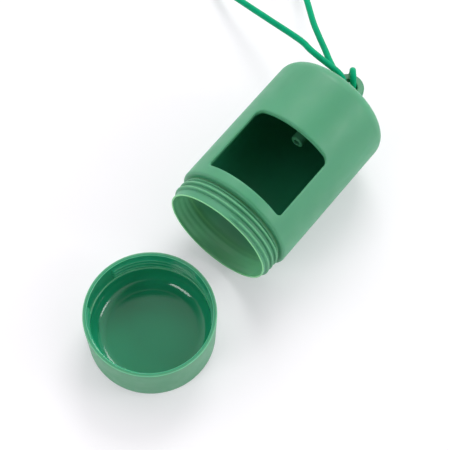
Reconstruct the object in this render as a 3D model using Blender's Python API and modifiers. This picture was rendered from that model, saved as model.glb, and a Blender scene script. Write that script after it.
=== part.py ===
"""Hanging wasp trap with a screw-on bait cup, laid out open on a table.

The housing is a round moulding that lies on its side along X, with its threaded mouth
towards -X, its window facing up and its hanging lug at +X.  The bait cup stands mouth
upwards in front of the mouth.  A cord loop passes through the lug and is tied under it.
Units are metres, +Z is up, and the origin is on the table under the middle of the layout.
"""

import math

import bmesh
import bpy
import numpy as np
from mathutils import Matrix, Vector

# ---------------------------------------------------------------- driving dimensions
TURN_STEPS = 64                 # facets round a turned piece

# Housing, measured along its axis from the mouth towards the roof.
BODY_R = 0.030
BODY_LENGTH = 0.0918
BODY_WALL = 0.0024
ROOF_EDGE_R = 0.0072
NECK_LENGTH = 0.01155
NECK_R = 0.0272
NECK_BORE_R = 0.0256
GROOVE_R = 0.0268               # relief groove between the thread and the shoulder
GROOVE_LENGTH = 0.0011
BEAD_R = 0.0278                 # plain ring between the thread and the groove
BEAD_LENGTH = 0.0006
SHOULDER_EDGE_R = 0.0015
BORE_TAPER_LENGTH = 0.004       # the bore widens from the neck to the body over this

# Screw thread, one start, right-handed.
PITCH = 0.0030
NECK_RIDGE_R = 0.0012           # how far the neck's rounded ridge stands out
NECK_THREAD_START = 0.0021      # first ridge centre from the mouth
NECK_THREAD_TURNS = 2.35
NECK_THREAD_PHASE = math.radians(10)    # where the ridge starts, from the window's middle
CUP_RIDGE_R = 0.0011
CUP_THREAD_START = 0.0026       # highest ridge centre below the rim
CUP_THREAD_TURNS = 2.6

# Window, a straight-sided opening cut down through the top of the body.
WINDOW_START = 0.0178
WINDOW_END = 0.0547
WINDOW_HALF_WIDTH = 0.0202
WINDOW_SIDE = -0.0014           # the window sits a little to one side of the axis
WINDOW_MOUTH_CORNER_R = 0.0018
WINDOW_ROOF_CORNER_R = 0.0036

# Peg inside the roof, and the hanging lug outside it.
PEG_R = 0.00325
PEG_END = 0.0623
PEG_SIDE = 0.0015               # the peg stands a little to one side of the axis
PEG_HOLE_R = 0.0016
PEG_HOLE_DEPTH = 0.004
LUG_R = 0.0078
LUG_REACH = 0.0094              # from the roof to the middle of the lug's eye
LUG_THICKNESS = 0.003
EYE_R = 0.0044

# Bait cup.
CUP_RIM_R = 0.0307
CUP_BASE_R = 0.0299
CUP_HEIGHT = 0.026
CUP_BORE_R = 0.0289
CUP_LOWER_BORE_R = 0.0283
CUP_LEDGE_DROP = 0.0136         # from the rim to the ledge under the thread
CUP_FLOOR = 0.0022
CUP_FLOOR_FILLET_R = 0.007
CUP_RIM_EDGE_R = 0.0008
CUP_FOOT_EDGE_R = 0.0018
CUP_PAD_HALF_ANGLE = math.radians(21)   # plain stretches that interrupt the cup's thread
CUP_PAD_ANGLES = (math.radians(99), math.radians(279))

# Layout on the table.
CUP_AHEAD = 0.0475              # the cup's centre, in front of the mouth
CUP_ASIDE = 0.0011              # and to the side of the housing's axis

# Cord.
CORD_R = 0.0016
KNOT_RADII = (0.0056, 0.0052, 0.0033)
KNOT_DROP = 0.0059              # from the lug's mid-plane to the knot's centre
KNOT_SHIFT = (0.0015, -0.0002)

# The layout's box is centred on the origin.
FRONT = -CUP_AHEAD - CUP_RIM_R
BACK = BODY_LENGTH + LUG_REACH + LUG_R
MOUTH_X = -(FRONT + BACK) / 2
AXIS_Y = -(CUP_ASIDE + CUP_RIM_R - BODY_R) / 2
MOUTH = Vector((MOUTH_X, AXIS_Y, BODY_R))
CUP_CENTRE = Vector((MOUTH_X - CUP_AHEAD, AXIS_Y + CUP_ASIDE, 0.0))
EYE = MOUTH + Vector((BODY_LENGTH + LUG_REACH, 0.0, 0.0))

# Turns a shape drawn round Z into one round X, with its +X side kept upwards.
ROUND_X = Matrix(((0, 0, 1), (0, -1, 0), (1, 0, 0))).to_4x4()

# The cord's free loop, from its end in the eye, over the lug, round on the table and back
# under the lug.  Offsets in metres from the middle of the eye.
LOOP_ROUTE = (
    (-0.0020, -0.0003, -0.0012), (-0.0018, 0.0002, 0.0002), (-0.0009, 0.0016, 0.0021),
    (0.0006, 0.0036, 0.0034), (0.0020, 0.0060, 0.0039), (0.0029, 0.0095, 0.0036),
    (0.0038, 0.0147, 0.0027), (0.0049, 0.0211, 0.0016), (0.0063, 0.0278, 0.0003),
    (0.0086, 0.0357, -0.0017), (0.0121, 0.0570, -0.0085), (0.0162, 0.0777, -0.0165),
    (0.0202, 0.0950, -0.0235), (0.0257, 0.1100, -0.0276), (0.0337, 0.1215, -0.0283),
    (0.0452, 0.1262, -0.0283), (0.0567, 0.1220, -0.0283), (0.0642, 0.1110, -0.0283),
    (0.0650, 0.0970, -0.0283), (0.0602, 0.0835, -0.0277), (0.0532, 0.0715, -0.0252),
    (0.0450, 0.0608, -0.0208), (0.0362, 0.0510, -0.0162), (0.0268, 0.0406, -0.0122),
    (0.0203, 0.0322, -0.0094), (0.0145, 0.0240, -0.0072), (0.0110, 0.0193, -0.0060),
    (0.0080, 0.0149, -0.0048), (0.0064, 0.0120, -0.0042), (0.0056, 0.0090, -0.0041),
)

# The turn of the cord that comes from under the lug, over its rim and down its eye.
HITCH_ROUTE = (
    (0.0055, 0.0084, -0.0041), (0.0053, 0.0070, -0.0043), (0.0060, 0.0055, -0.0045),
    (0.0075, 0.0046, -0.0042), (0.0088, 0.0041, -0.0028), (0.0093, 0.0040, -0.0008),
    (0.0091, 0.0039, 0.0011), (0.0082, 0.0034, 0.0031), (0.0066, 0.0022, 0.0041),
    (0.0047, 0.0006, 0.0041), (0.0031, -0.0007, 0.0029), (0.0021, -0.0015, 0.0009),
    (0.0016, -0.0019, -0.0019),
)


# ---------------------------------------------------------------- helpers
def clear_scene():
    """Remove every object that the new file starts with."""
    for obj in list(bpy.data.objects):
        bpy.data.objects.remove(obj, do_unlink=True)


def new_collection(name):
    """Make a collection in the scene."""
    collection = bpy.data.collections.new(name)
    bpy.context.scene.collection.children.link(collection)
    return collection


def plastic(name, colour, roughness):
    """Make a Principled material of one plastic."""
    material = bpy.data.materials.new(name)
    material.use_nodes = True
    shader = material.node_tree.nodes["Principled BSDF"]
    shader.inputs["Base Color"].default_value = (*colour, 1.0)
    shader.inputs["Roughness"].default_value = roughness
    shader.inputs["Metallic"].default_value = 0.0
    return material


def add_object(name, data, collection):
    """Make an object of a mesh or curve and put it in a collection."""
    obj = bpy.data.objects.new(name, data)
    collection.objects.link(obj)
    return obj


def arc(centre_r, centre_h, radius, start_deg, end_deg, count=5):
    """Points of a round edge in a profile, as (radius, height) pairs."""
    angles = np.radians(np.linspace(start_deg, end_deg, count))
    return [(centre_r + radius * math.cos(a), centre_h + radius * math.sin(a)) for a in angles]


def turned(name, profile, collection):
    """Turn a profile of (radius, height) pairs, outer side first and downwards, round Z."""
    mesh = bpy.data.meshes.new(name)
    points = [(r, 0.0, h) for r, h in profile]
    edges = [(i, i + 1) for i in range(len(points) - 1)]
    mesh.from_pydata(points, edges, [])
    obj = add_object(name, mesh, collection)
    screw = obj.modifiers.new("turn", "SCREW")
    screw.axis = "Z"
    screw.steps = TURN_STEPS
    screw.render_steps = TURN_STEPS
    screw.use_merge_vertices = True
    screw.merge_threshold = 0.00001
    weld = obj.modifiers.new("close", "WELD")
    weld.merge_threshold = 0.00001
    return obj


def smooth_route(points, spacing):
    """Read evenly spaced points from a Catmull-Rom curve through the given points."""
    knots = np.array(points, dtype=float)
    padded = np.vstack((2 * knots[0] - knots[1], knots, 2 * knots[-1] - knots[-2]))
    t = np.linspace(0.0, 1.0, 24, endpoint=False)[:, None]
    runs = []
    for p0, p1, p2, p3 in zip(padded, padded[1:], padded[2:], padded[3:]):
        runs.append(0.5 * (2 * p1 + (p2 - p0) * t + (2 * p0 - 5 * p1 + 4 * p2 - p3) * t ** 2
                           + (3 * p1 - p0 - 3 * p2 + p3) * t ** 3))
    dense = np.vstack(runs + [knots[-1:]])
    along = np.concatenate(([0.0], np.cumsum(np.linalg.norm(np.diff(dense, axis=0), axis=1))))
    even = np.linspace(0.0, along[-1], int(round(along[-1] / spacing)) + 1)
    return np.column_stack([np.interp(even, along, dense[:, axis]) for axis in range(3)])


def tube(name, points, radius, collection, sides=2):
    """Make a round bar with filled ends along points, as a curve."""
    curve = bpy.data.curves.new(name, "CURVE")
    curve.dimensions = "3D"
    spline = curve.splines.new("POLY")
    spline.points.add(len(points) - 1)
    for place, point in zip(spline.points, points):
        place.co = (*point, 1.0)
    curve.bevel_depth = radius
    curve.bevel_resolution = sides
    curve.use_fill_caps = True
    return add_object(name, curve, collection)


def as_mesh(curve_object, collection):
    """Replace a curve object by a closed mesh object of the same shape."""
    graph = bpy.context.evaluated_depsgraph_get()
    graph.update()
    name = curve_object.name
    mesh = bpy.data.meshes.new_from_object(curve_object.evaluated_get(graph))
    shape = bmesh.new()
    shape.from_mesh(mesh)
    bmesh.ops.remove_doubles(shape, verts=shape.verts, dist=0.000005)
    bmesh.ops.recalc_face_normals(shape, faces=shape.faces)
    shape.to_mesh(mesh)
    shape.free()
    solid = add_object(name + "_solid", mesh, collection)
    solid.matrix_world = curve_object.matrix_world.copy()
    bpy.data.objects.remove(curve_object, do_unlink=True)
    return solid


def cylinder(name, radius, length, centre, collection, along="Z", segments=32):
    """Make a cylinder round a point, along Z or X."""
    shape = bmesh.new()
    bmesh.ops.create_cone(shape, cap_ends=True, segments=segments, radius1=radius,
                          radius2=radius, depth=length)
    mesh = bpy.data.meshes.new(name)
    if along == "X":
        shape.transform(ROUND_X)
    shape.to_mesh(mesh)
    shape.free()
    obj = add_object(name, mesh, collection)
    obj.location = centre
    return obj


def box(name, size, centre, collection, corner_radii=None):
    """Make a box whose upright edges at its -X and +X ends may be rounded."""
    shape = bmesh.new()
    bmesh.ops.create_cube(shape, size=1.0)
    bmesh.ops.scale(shape, vec=size, verts=shape.verts)
    for end, radius in zip((-1, 1), corner_radii or ()):
        upright = [edge for edge in shape.edges
                   if abs(edge.verts[0].co.z - edge.verts[1].co.z) > size[2] / 2
                   and edge.verts[0].co.x * end > size[0] / 2 - 0.00001]
        bmesh.ops.bevel(shape, geom=upright, offset=radius, segments=5, profile=0.5,
                        affect="EDGES")
    mesh = bpy.data.meshes.new(name)
    shape.to_mesh(mesh)
    shape.free()
    obj = add_object(name, mesh, collection)
    obj.location = centre
    return obj


def combine(target, other, operation):
    """Join another solid to a piece, or cut it out of the piece."""
    step = target.modifiers.new(other.name, "BOOLEAN")
    step.object = other
    step.operation = operation
    step.solver = "EXACT"
    other.hide_render = True
    other.display_type = "WIRE"


def helix(radius, start, turns, rise, phase=0.0, per_turn=32):
    """Points of a right-handed helix round Z, rising by rise in each turn."""
    angle = np.linspace(0.0, 2 * math.pi * turns, int(per_turn * turns) + 1)
    return np.column_stack((radius * np.cos(angle + phase), radius * np.sin(angle + phase),
                            start + rise * angle / (2 * math.pi)))


# ---------------------------------------------------------------- pieces
def housing_profile():
    """Outer side of the housing from the roof to the mouth, then its bore back up."""
    wall_r = BODY_R - BODY_WALL
    roof_inside = BODY_LENGTH - BODY_WALL
    inner_edge_r = ROOF_EDGE_R - BODY_WALL
    groove_top = NECK_LENGTH - 0.0002
    groove_low = NECK_LENGTH - GROOVE_LENGTH
    bead_low = groove_low - 0.0002 - BEAD_LENGTH
    rim_edge = 0.0004
    profile = [(0.0, BODY_LENGTH)]
    profile += arc(BODY_R - ROOF_EDGE_R, BODY_LENGTH - ROOF_EDGE_R, ROOF_EDGE_R, 90, 0, 7)
    profile += arc(BODY_R - SHOULDER_EDGE_R, NECK_LENGTH + SHOULDER_EDGE_R,
                   SHOULDER_EDGE_R, 0, -90, 4)
    profile += [(GROOVE_R + 0.0004, NECK_LENGTH), (GROOVE_R, groove_top), (GROOVE_R, groove_low),
                (BEAD_R, groove_low - 0.0002), (BEAD_R, bead_low), (NECK_R, bead_low - 0.0002),
                (NECK_R, rim_edge), (NECK_R - rim_edge, 0.0),
                (NECK_BORE_R + rim_edge / 2, 0.0), (NECK_BORE_R, rim_edge / 2),
                (NECK_BORE_R, NECK_LENGTH), (wall_r, NECK_LENGTH + BORE_TAPER_LENGTH)]
    profile += arc(wall_r - inner_edge_r, roof_inside - inner_edge_r, inner_edge_r, 0, 90)
    profile += [(0.0, roof_inside)]
    return profile


def build_housing(parts, cutters):
    """The moulded housing: turned shell, neck thread, window, inner peg and hanging lug."""
    housing = turned("housing", housing_profile(), parts)
    housing.matrix_world = Matrix.Translation(MOUTH) @ ROUND_X

    ridge = tube("neck_ridge", helix(NECK_R, NECK_THREAD_START, NECK_THREAD_TURNS, PITCH,
                                     NECK_THREAD_PHASE), NECK_RIDGE_R, cutters)
    ridge.matrix_world = Matrix.Translation(MOUTH) @ ROUND_X
    bpy.context.view_layer.update()
    combine(housing, as_mesh(ridge, cutters), "UNION")

    roof_x = MOUTH_X + BODY_LENGTH
    peg_length = BODY_LENGTH - BODY_WALL / 2 - PEG_END
    peg_centre = (MOUTH_X + PEG_END + peg_length / 2, AXIS_Y + PEG_SIDE, BODY_R)
    combine(housing, cylinder("peg", PEG_R, peg_length, peg_centre, cutters, "X", 24), "UNION")
    hollow = (MOUTH_X + PEG_END, AXIS_Y + PEG_SIDE, BODY_R)
    combine(housing, cylinder("peg_hollow", PEG_HOLE_R, 2 * PEG_HOLE_DEPTH, hollow, cutters,
                              "X", 16), "DIFFERENCE")

    web_length = LUG_REACH + BODY_WALL / 2
    web_centre = (roof_x + LUG_REACH - web_length / 2, AXIS_Y, BODY_R)
    combine(housing, box("lug_web", (web_length, 2 * LUG_R, LUG_THICKNESS), web_centre, cutters),
            "UNION")
    combine(housing, cylinder("lug_end", LUG_R, LUG_THICKNESS, EYE, cutters), "UNION")
    combine(housing, cylinder("lug_eye", EYE_R, 3 * LUG_THICKNESS, EYE, cutters), "DIFFERENCE")

    window_length = WINDOW_END - WINDOW_START
    window_centre = MOUTH + Vector((WINDOW_START + window_length / 2, WINDOW_SIDE, BODY_R))
    window = box("window", (window_length, 2 * WINDOW_HALF_WIDTH, 2 * BODY_R), window_centre,
                 cutters, (WINDOW_MOUTH_CORNER_R, WINDOW_ROOF_CORNER_R))
    combine(housing, window, "DIFFERENCE")
    housing.data.materials.append(plastic("housing_plastic", (0.115, 0.392, 0.227), 0.5))
    return housing


def cup_profile():
    """Outer side of the cup from its rim to its foot, then its inside back up."""
    ledge = CUP_HEIGHT - CUP_LEDGE_DROP
    rim_out = CUP_RIM_R - CUP_RIM_EDGE_R
    rim_in = CUP_BORE_R + CUP_RIM_EDGE_R / 2
    profile = [(rim_in, CUP_HEIGHT)]
    profile += arc(rim_out, CUP_HEIGHT - CUP_RIM_EDGE_R, CUP_RIM_EDGE_R, 90, 0, 4)
    profile += arc(CUP_BASE_R - CUP_FOOT_EDGE_R, CUP_FOOT_EDGE_R, CUP_FOOT_EDGE_R, 0, -90, 5)
    profile += [(0.0, 0.0)]
    inside = [(0.0, CUP_FLOOR)]
    inside += arc(CUP_LOWER_BORE_R - CUP_FLOOR_FILLET_R, CUP_FLOOR + CUP_FLOOR_FILLET_R,
                  CUP_FLOOR_FILLET_R, -90, 0, 7)
    inside += [(CUP_LOWER_BORE_R, ledge), (CUP_BORE_R, ledge + 0.0003),
               (CUP_BORE_R, CUP_HEIGHT - CUP_RIM_EDGE_R / 2), (rim_in, CUP_HEIGHT)]
    return profile, inside


def cup_thread_stretches():
    """The stretches of the cup's helix that lie between its plain pads, as angle pairs."""
    last = 2 * math.pi * CUP_THREAD_TURNS
    stretches = []
    start = 0.0
    for pad in sorted(angle + 2 * math.pi * turn for angle in CUP_PAD_ANGLES
                      for turn in range(math.ceil(CUP_THREAD_TURNS))):
        stretches.append((start, min(pad - CUP_PAD_HALF_ANGLE, last)))
        start = pad + CUP_PAD_HALF_ANGLE
    stretches.append((start, last))
    return [(begin, end) for begin, end in stretches if end - begin > CUP_PAD_HALF_ANGLE]


def build_cup(parts, cutters):
    """The bait cup: a turned cup with an interrupted thread inside its rim."""
    outside, inside = cup_profile()
    cup = turned("bait_cup", outside + inside, parts)
    cup.location = CUP_CENTRE
    low = CUP_HEIGHT - CUP_THREAD_START - PITCH * CUP_THREAD_TURNS
    for begin, end in cup_thread_stretches():
        points = helix(CUP_BORE_R, low + PITCH * begin / (2 * math.pi),
                       (end - begin) / (2 * math.pi), PITCH, begin)
        ridge = tube("cup_ridge", points, CUP_RIDGE_R, cutters)
        ridge.location = CUP_CENTRE
        bpy.context.view_layer.update()
        combine(cup, as_mesh(ridge, cutters), "UNION")
    cup.data.materials.append(plastic("cup_plastic", (0.105, 0.345, 0.205), 0.42))
    return cup


def build_cord(parts):
    """The cord: its free loop, the turn over the lug's rim, and the knot under the eye."""
    cord = plastic("cord_green", (0.004, 0.31, 0.15), 0.35)
    for name, route, spacing in (("cord_loop", LOOP_ROUTE, 0.0058),
                                 ("cord_hitch", HITCH_ROUTE, 0.0014)):
        piece = tube(name, smooth_route(route, spacing), CORD_R, parts)
        piece.location = EYE
        piece.data.materials.append(cord)
    shape = bmesh.new()
    bmesh.ops.create_uvsphere(shape, u_segments=20, v_segments=12, radius=1.0)
    bmesh.ops.scale(shape, vec=KNOT_RADII, verts=shape.verts)
    mesh = bpy.data.meshes.new("cord_knot")
    shape.to_mesh(mesh)
    shape.free()
    knot = add_object("cord_knot", mesh, parts)
    knot.location = EYE + Vector((*KNOT_SHIFT, -KNOT_DROP))
    knot.data.materials.append(cord)


def main():
    """Build the whole trap."""
    clear_scene()
    parts = new_collection("wasp_trap")
    cutters = new_collection("cutters")
    pieces = [build_housing(parts, cutters), build_cup(parts, cutters)]
    build_cord(parts)
    for piece in pieces:
        piece.data.shade_smooth()
        piece.data.set_sharp_from_angle(angle=math.radians(30))


main()
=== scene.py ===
"""Looks of a hanging wasp trap that lies open on a table: housing, bait cup and cord.

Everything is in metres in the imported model's own frame: +X runs along the housing from its
mouth to its lug, +Z is up, and the table is at z = 0.  Each sub-assembly is a class that
builds its surfaces as numpy grids and dresses them with its finish.
"""

from __future__ import annotations

import logging
import math
from dataclasses import dataclass, field
from enum import Enum

import bmesh
import bpy
import numpy as np
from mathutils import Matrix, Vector


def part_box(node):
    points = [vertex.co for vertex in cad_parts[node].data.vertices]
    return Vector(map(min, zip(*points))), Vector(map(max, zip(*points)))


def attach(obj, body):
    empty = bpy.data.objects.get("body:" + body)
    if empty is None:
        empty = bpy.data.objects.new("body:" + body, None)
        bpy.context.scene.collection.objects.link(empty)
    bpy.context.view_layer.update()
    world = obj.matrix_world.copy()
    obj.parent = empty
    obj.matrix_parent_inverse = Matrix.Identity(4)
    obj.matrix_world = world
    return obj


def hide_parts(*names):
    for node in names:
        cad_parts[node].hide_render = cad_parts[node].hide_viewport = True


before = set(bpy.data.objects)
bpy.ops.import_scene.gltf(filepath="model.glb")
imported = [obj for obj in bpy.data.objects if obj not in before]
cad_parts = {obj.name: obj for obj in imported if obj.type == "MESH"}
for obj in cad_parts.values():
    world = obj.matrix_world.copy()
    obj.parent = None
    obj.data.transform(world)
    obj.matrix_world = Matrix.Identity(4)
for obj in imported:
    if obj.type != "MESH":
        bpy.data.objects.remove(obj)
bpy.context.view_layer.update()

LOG = logging.getLogger("wasp_trap")
MM = 0.001
FULL_TURN = 2 * math.pi
THREAD_PITCH = 3.0 * MM
VIEW_MIDDLE = (18.28 * MM, 9.85 * MM)   # on the table, along and across from the mouth
WELD_GAP = 0.002 * MM                   # patches share points that lie closer than this
SHARP_TURN = math.radians(50)           # edges that turn more than this stay crisp
Row = tuple[float, float]
Tint = bpy.types.NodeSocket | tuple[float, float, float]


# ------------------ grids and meshes
def ease(x: np.ndarray) -> np.ndarray:
    """Smooth step: 0 below 0, 1 above 1, and 3x^2 - 2x^3 between."""
    x = np.clip(x, 0.0, 1.0)
    return x * x * (3 - 2 * x)


def arc_rows(along: float, radius: float, bend: float, start: float, end: float,
             count: int) -> list[Row]:
    """Rows of a round edge in a turned profile.

    Args:
        along: axial place of the bend's centre.
        radius: distance of the bend's centre from the axis.
        bend: radius of the bend.
        start: first angle in degrees, from the outward direction towards the axis' +.
        end: last angle in degrees.
        count: number of rows.

    Returns:
        (axial place, radius) pairs: centre + bend * (sin, cos) of the angle.
    """
    angles = np.radians(np.linspace(start, end, count))
    return [(along + bend * math.sin(a), radius + bend * math.cos(a)) for a in angles]


def line_rows(start: Row, end: Row, count: int) -> list[Row]:
    """Evenly spaced rows from start to end, both included."""
    return [tuple(row) for row in np.linspace(start, end, count)]


def quads(rows: int, columns: int, wrap_rows: bool = False, wrap_columns: bool = True,
          keep: np.ndarray | None = None) -> np.ndarray:
    """Corner numbers of the faces of a grid.

    Args:
        rows: number of point rows.
        columns: number of points in a row.
        wrap_rows: whether the last row joins the first.
        wrap_columns: whether the last column joins the first.
        keep: which faces to keep, a (row, column) table of booleans.

    Returns:
        An (n, 4) table of point numbers, row after row.
    """
    i, j = np.meshgrid(np.arange(rows if wrap_rows else rows - 1),
                       np.arange(columns if wrap_columns else columns - 1), indexing="ij")
    below, beside = (i + 1) % rows, (j + 1) % columns
    faces = np.stack([i * columns + j, i * columns + beside,
                      below * columns + beside, below * columns + j], axis=-1)
    return faces[keep] if keep is not None else faces.reshape(-1, 4)


@dataclass
class Shell:
    """A closed surface gathered from grid patches that share their edge points."""

    name: str
    points: list[np.ndarray] = field(default_factory=list)
    faces: list[np.ndarray] = field(default_factory=list)
    polish: list[np.ndarray] = field(default_factory=list)
    painted_light: list[np.ndarray] = field(default_factory=list)
    count: int = 0

    def add(self, grid: np.ndarray, faces: np.ndarray, polish: np.ndarray | float = 0.0,
            painted_light: np.ndarray | float = 0.0) -> None:
        """Add one patch.

        Args:
            grid: (rows, columns, 3) points in metres.
            faces: corner numbers within the patch.
            polish: how glossy each point is, 0 to 1; it also picks the inner faces' colour,
            which on the housing is darker, painted shade.
            painted_light: how much painted light each point gets, 0 to 1: painted highlights
            on edges and crests, painted glow inside the neck.
        """
        flat = grid.reshape(-1, 3)
        self.points.append(flat)
        self.faces.append(faces + self.count)
        self.polish.append(np.broadcast_to(polish, grid.shape[:2]).reshape(-1))
        self.painted_light.append(np.broadcast_to(painted_light, grid.shape[:2]).reshape(-1))
        self.count += len(flat)

    def build(self) -> bpy.types.Object:
        """Merge the patches into one closed, smooth mesh object at the origin."""
        mesh = bpy.data.meshes.new(self.name)
        mesh.from_pydata(np.vstack(self.points), [], np.vstack(self.faces).tolist())
        # the second attribute holds painted light: painted highlights and painted glow
        for name, values in (("polish", self.polish), ("painted_light", self.painted_light)):
            layer = mesh.attributes.new(name, "FLOAT", "POINT")
            layer.data.foreach_set("value", np.concatenate(values).astype(np.float32))
        work = bmesh.new()
        work.from_mesh(mesh)
        bmesh.ops.remove_doubles(work, verts=work.verts, dist=WELD_GAP)
        bmesh.ops.dissolve_degenerate(work, edges=work.edges, dist=1e-7)
        bmesh.ops.recalc_face_normals(work, faces=work.faces)
        work.to_mesh(mesh)
        work.free()
        mesh.shade_smooth()
        mesh.set_sharp_from_angle(angle=SHARP_TURN)
        return place_object(self.name, mesh)


def place_object(name: str, data: bpy.types.ID) -> bpy.types.Object:
    """Make an object of a mesh, curve, lamp or camera and put it in the scene."""
    made = bpy.data.objects.new(name, data)
    bpy.context.scene.collection.objects.link(made)
    return made


def round_x(along: np.ndarray, radius: np.ndarray, angle: np.ndarray,
            centre: Vector) -> np.ndarray:
    """Points round an axis parallel to X.

    Args:
        along: distance along the axis from the centre.
        radius: distance from the axis.
        angle: turn from straight up towards -Y.
        centre: where the axis starts.

    Returns:
        centre + (along, -radius * sin(angle), radius * cos(angle)).
    """
    along, radius, angle = np.broadcast_arrays(along, radius, angle)
    return np.stack([centre[0] + along, centre[1] - radius * np.sin(angle),
                     centre[2] + radius * np.cos(angle)], axis=-1)


def round_z(height: np.ndarray, radius: np.ndarray, angle: np.ndarray,
            centre: Vector) -> np.ndarray:
    """Points round an upright axis: centre + (radius * cos, radius * sin, height)."""
    height, radius, angle = np.broadcast_arrays(height, radius, angle)
    return np.stack([centre[0] + radius * np.cos(angle), centre[1] + radius * np.sin(angle),
                     centre[2] + height], axis=-1)


def smooth_route(points: tuple[tuple[float, float, float], ...], spacing: float) -> np.ndarray:
    """Evenly spaced points of the Catmull-Rom curve through the route's points.

    Args:
        points: the route, in metres.
        spacing: wanted distance between the points that are read.

    Returns:
        An (n, 3) array.
    """
    knots = np.array(points, dtype=float)
    padded = np.vstack((2 * knots[0] - knots[1], knots, 2 * knots[-1] - knots[-2]))
    reads = 24                              # from one point of the route to the next
    t = np.linspace(0.0, 1.0, reads, endpoint=False)[None, :, None]
    p0, p1, p2, p3 = (padded[i:len(padded) - 3 + i, None, :] for i in range(4))
    dense = 0.5 * (2 * p1 + (p2 - p0) * t + (2 * p0 - 5 * p1 + 4 * p2 - p3) * t ** 2
                   + (3 * p1 - p0 - 3 * p2 + p3) * t ** 3)
    dense = np.vstack((dense.reshape(-1, 3), knots[-1:]))
    along = np.concatenate(([0.0], np.cumsum(np.linalg.norm(np.diff(dense, axis=0), axis=1))))
    even = np.linspace(0.0, along[-1], int(round(along[-1] / spacing)) + 1)
    return np.column_stack([np.interp(even, along, dense[:, axis]) for axis in range(3)])


def carried_ring(path: np.ndarray, radius: float, sides: int) -> np.ndarray:
    """A round section carried along a path whose end joins its start.

    Each ring lies in the plane across the path's direction.  Its first axis is the last
    ring's axis made square to the new direction, so the section doesn't twist.

    Args:
        path: (n, 3) points.
        radius: radius of the section.
        sides: points round the section.

    Returns:
        An (n, sides, 3) grid.
    """
    step = np.roll(path, -1, axis=0) - np.roll(path, 1, axis=0)
    ahead = step / np.linalg.norm(step, axis=1, keepdims=True)
    side = np.empty_like(path)
    askew = (0.31, 0.22, 0.92)              # any direction that the path doesn't start in
    axis = np.cross(ahead[0], askew)
    for i, direction in enumerate(ahead):
        axis = axis - direction * axis.dot(direction)
        axis = axis / np.linalg.norm(axis)
        side[i] = axis
    up = np.cross(ahead, side)
    turn = np.linspace(0.0, FULL_TURN, sides, endpoint=False)[None, :, None]
    return path[:, None] + radius * (np.cos(turn) * side[:, None] + np.sin(turn) * up[:, None])


# ------------------ finishes
class Graph:
    """A short way to build one material's node tree."""

    noise_roughness: float = 0.55

    def __init__(self, name: str) -> None:
        """Start a material with an empty Principled shader."""
        self.material = bpy.data.materials.new(name)
        self.material.use_nodes = True
        self.tree = self.material.node_tree
        self.shader = self.tree.nodes["Principled BSDF"]

    def node(self, kind: str, **settings: object) -> bpy.types.Node:
        """Add a node and set its plain properties."""
        made = self.tree.nodes.new(kind)
        for key, value in settings.items():
            setattr(made, key, value)
        return made

    @staticmethod
    def fill(node: bpy.types.Node, values: dict[str, object]) -> None:
        """Set a node's unlinked inputs."""
        for name, value in values.items():
            node.inputs[name].default_value = value

    def wire(self, source: bpy.types.NodeSocket, target: bpy.types.NodeSocket) -> None:
        """Join an output to an input."""
        self.tree.links.new(source, target)

    def noise(self, scale: float, detail: float, stretch: tuple[float, float, float] = (1, 1, 1),
              shift: float = 0.0) -> bpy.types.NodeSocket:
        """Noise on Object coordinates, in cells per metre.

        Args:
            scale: cells per metre.
            detail: octaves.
            stretch: how much finer the pattern is along each axis.
            shift: moves the pattern, so that two noises differ.

        Returns:
            The noise value, 0 to 1.
        """
        place = self.node("ShaderNodeTexCoord")
        mapping = self.node("ShaderNodeMapping")
        self.fill(mapping, {"Location": (shift, shift, shift), "Scale": stretch})
        self.wire(place.outputs["Object"], mapping.inputs["Vector"])
        texture = self.node("ShaderNodeTexNoise")
        self.fill(texture, {"Scale": scale, "Detail": detail, "Roughness": self.noise_roughness})
        self.wire(mapping.outputs["Vector"], texture.inputs["Vector"])
        return texture.outputs["Fac"]

    def between(self, value: bpy.types.NodeSocket, low: float, high: float,
                source: tuple[float, float] = (0.3, 0.7)) -> bpy.types.NodeSocket:
        """Map a value from the source range to low..high, clamped."""
        ramp = self.node("ShaderNodeMapRange")
        self.fill(ramp, {"From Min": source[0], "From Max": source[1],
                         "To Min": low, "To Max": high})
        self.wire(value, ramp.inputs["Value"])
        return ramp.outputs["Result"]

    def blend(self, value: bpy.types.NodeSocket, low: Tint, high: Tint) -> bpy.types.NodeSocket:
        """Mix two colours, each a constant or a socket, by a value from 0 to 1."""
        mix = self.node("ShaderNodeMix", data_type="RGBA")
        colours = [socket for socket in mix.inputs if socket.type == "RGBA"]
        for socket, colour in zip(colours, (low, high)):
            if isinstance(colour, tuple):
                socket.default_value = (*colour, 1.0)
            else:
                self.wire(colour, socket)
        self.wire(value, mix.inputs["Factor"])
        return [socket for socket in mix.outputs if socket.type == "RGBA"][0]

    def bump(self, height: bpy.types.NodeSocket, distance: float, strength: float) -> None:
        """Raise the surface by a height pattern."""
        node = self.node("ShaderNodeBump")
        self.fill(node, {"Distance": distance, "Strength": strength})
        self.wire(height, node.inputs["Height"])
        self.wire(node.outputs["Normal"], self.shader.inputs["Normal"])


def shade(colour: tuple[float, float, float], factor: float) -> tuple[float, float, float]:
    """A colour made lighter or darker."""
    return tuple(min(1.0, channel * factor) for channel in colour)


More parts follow.
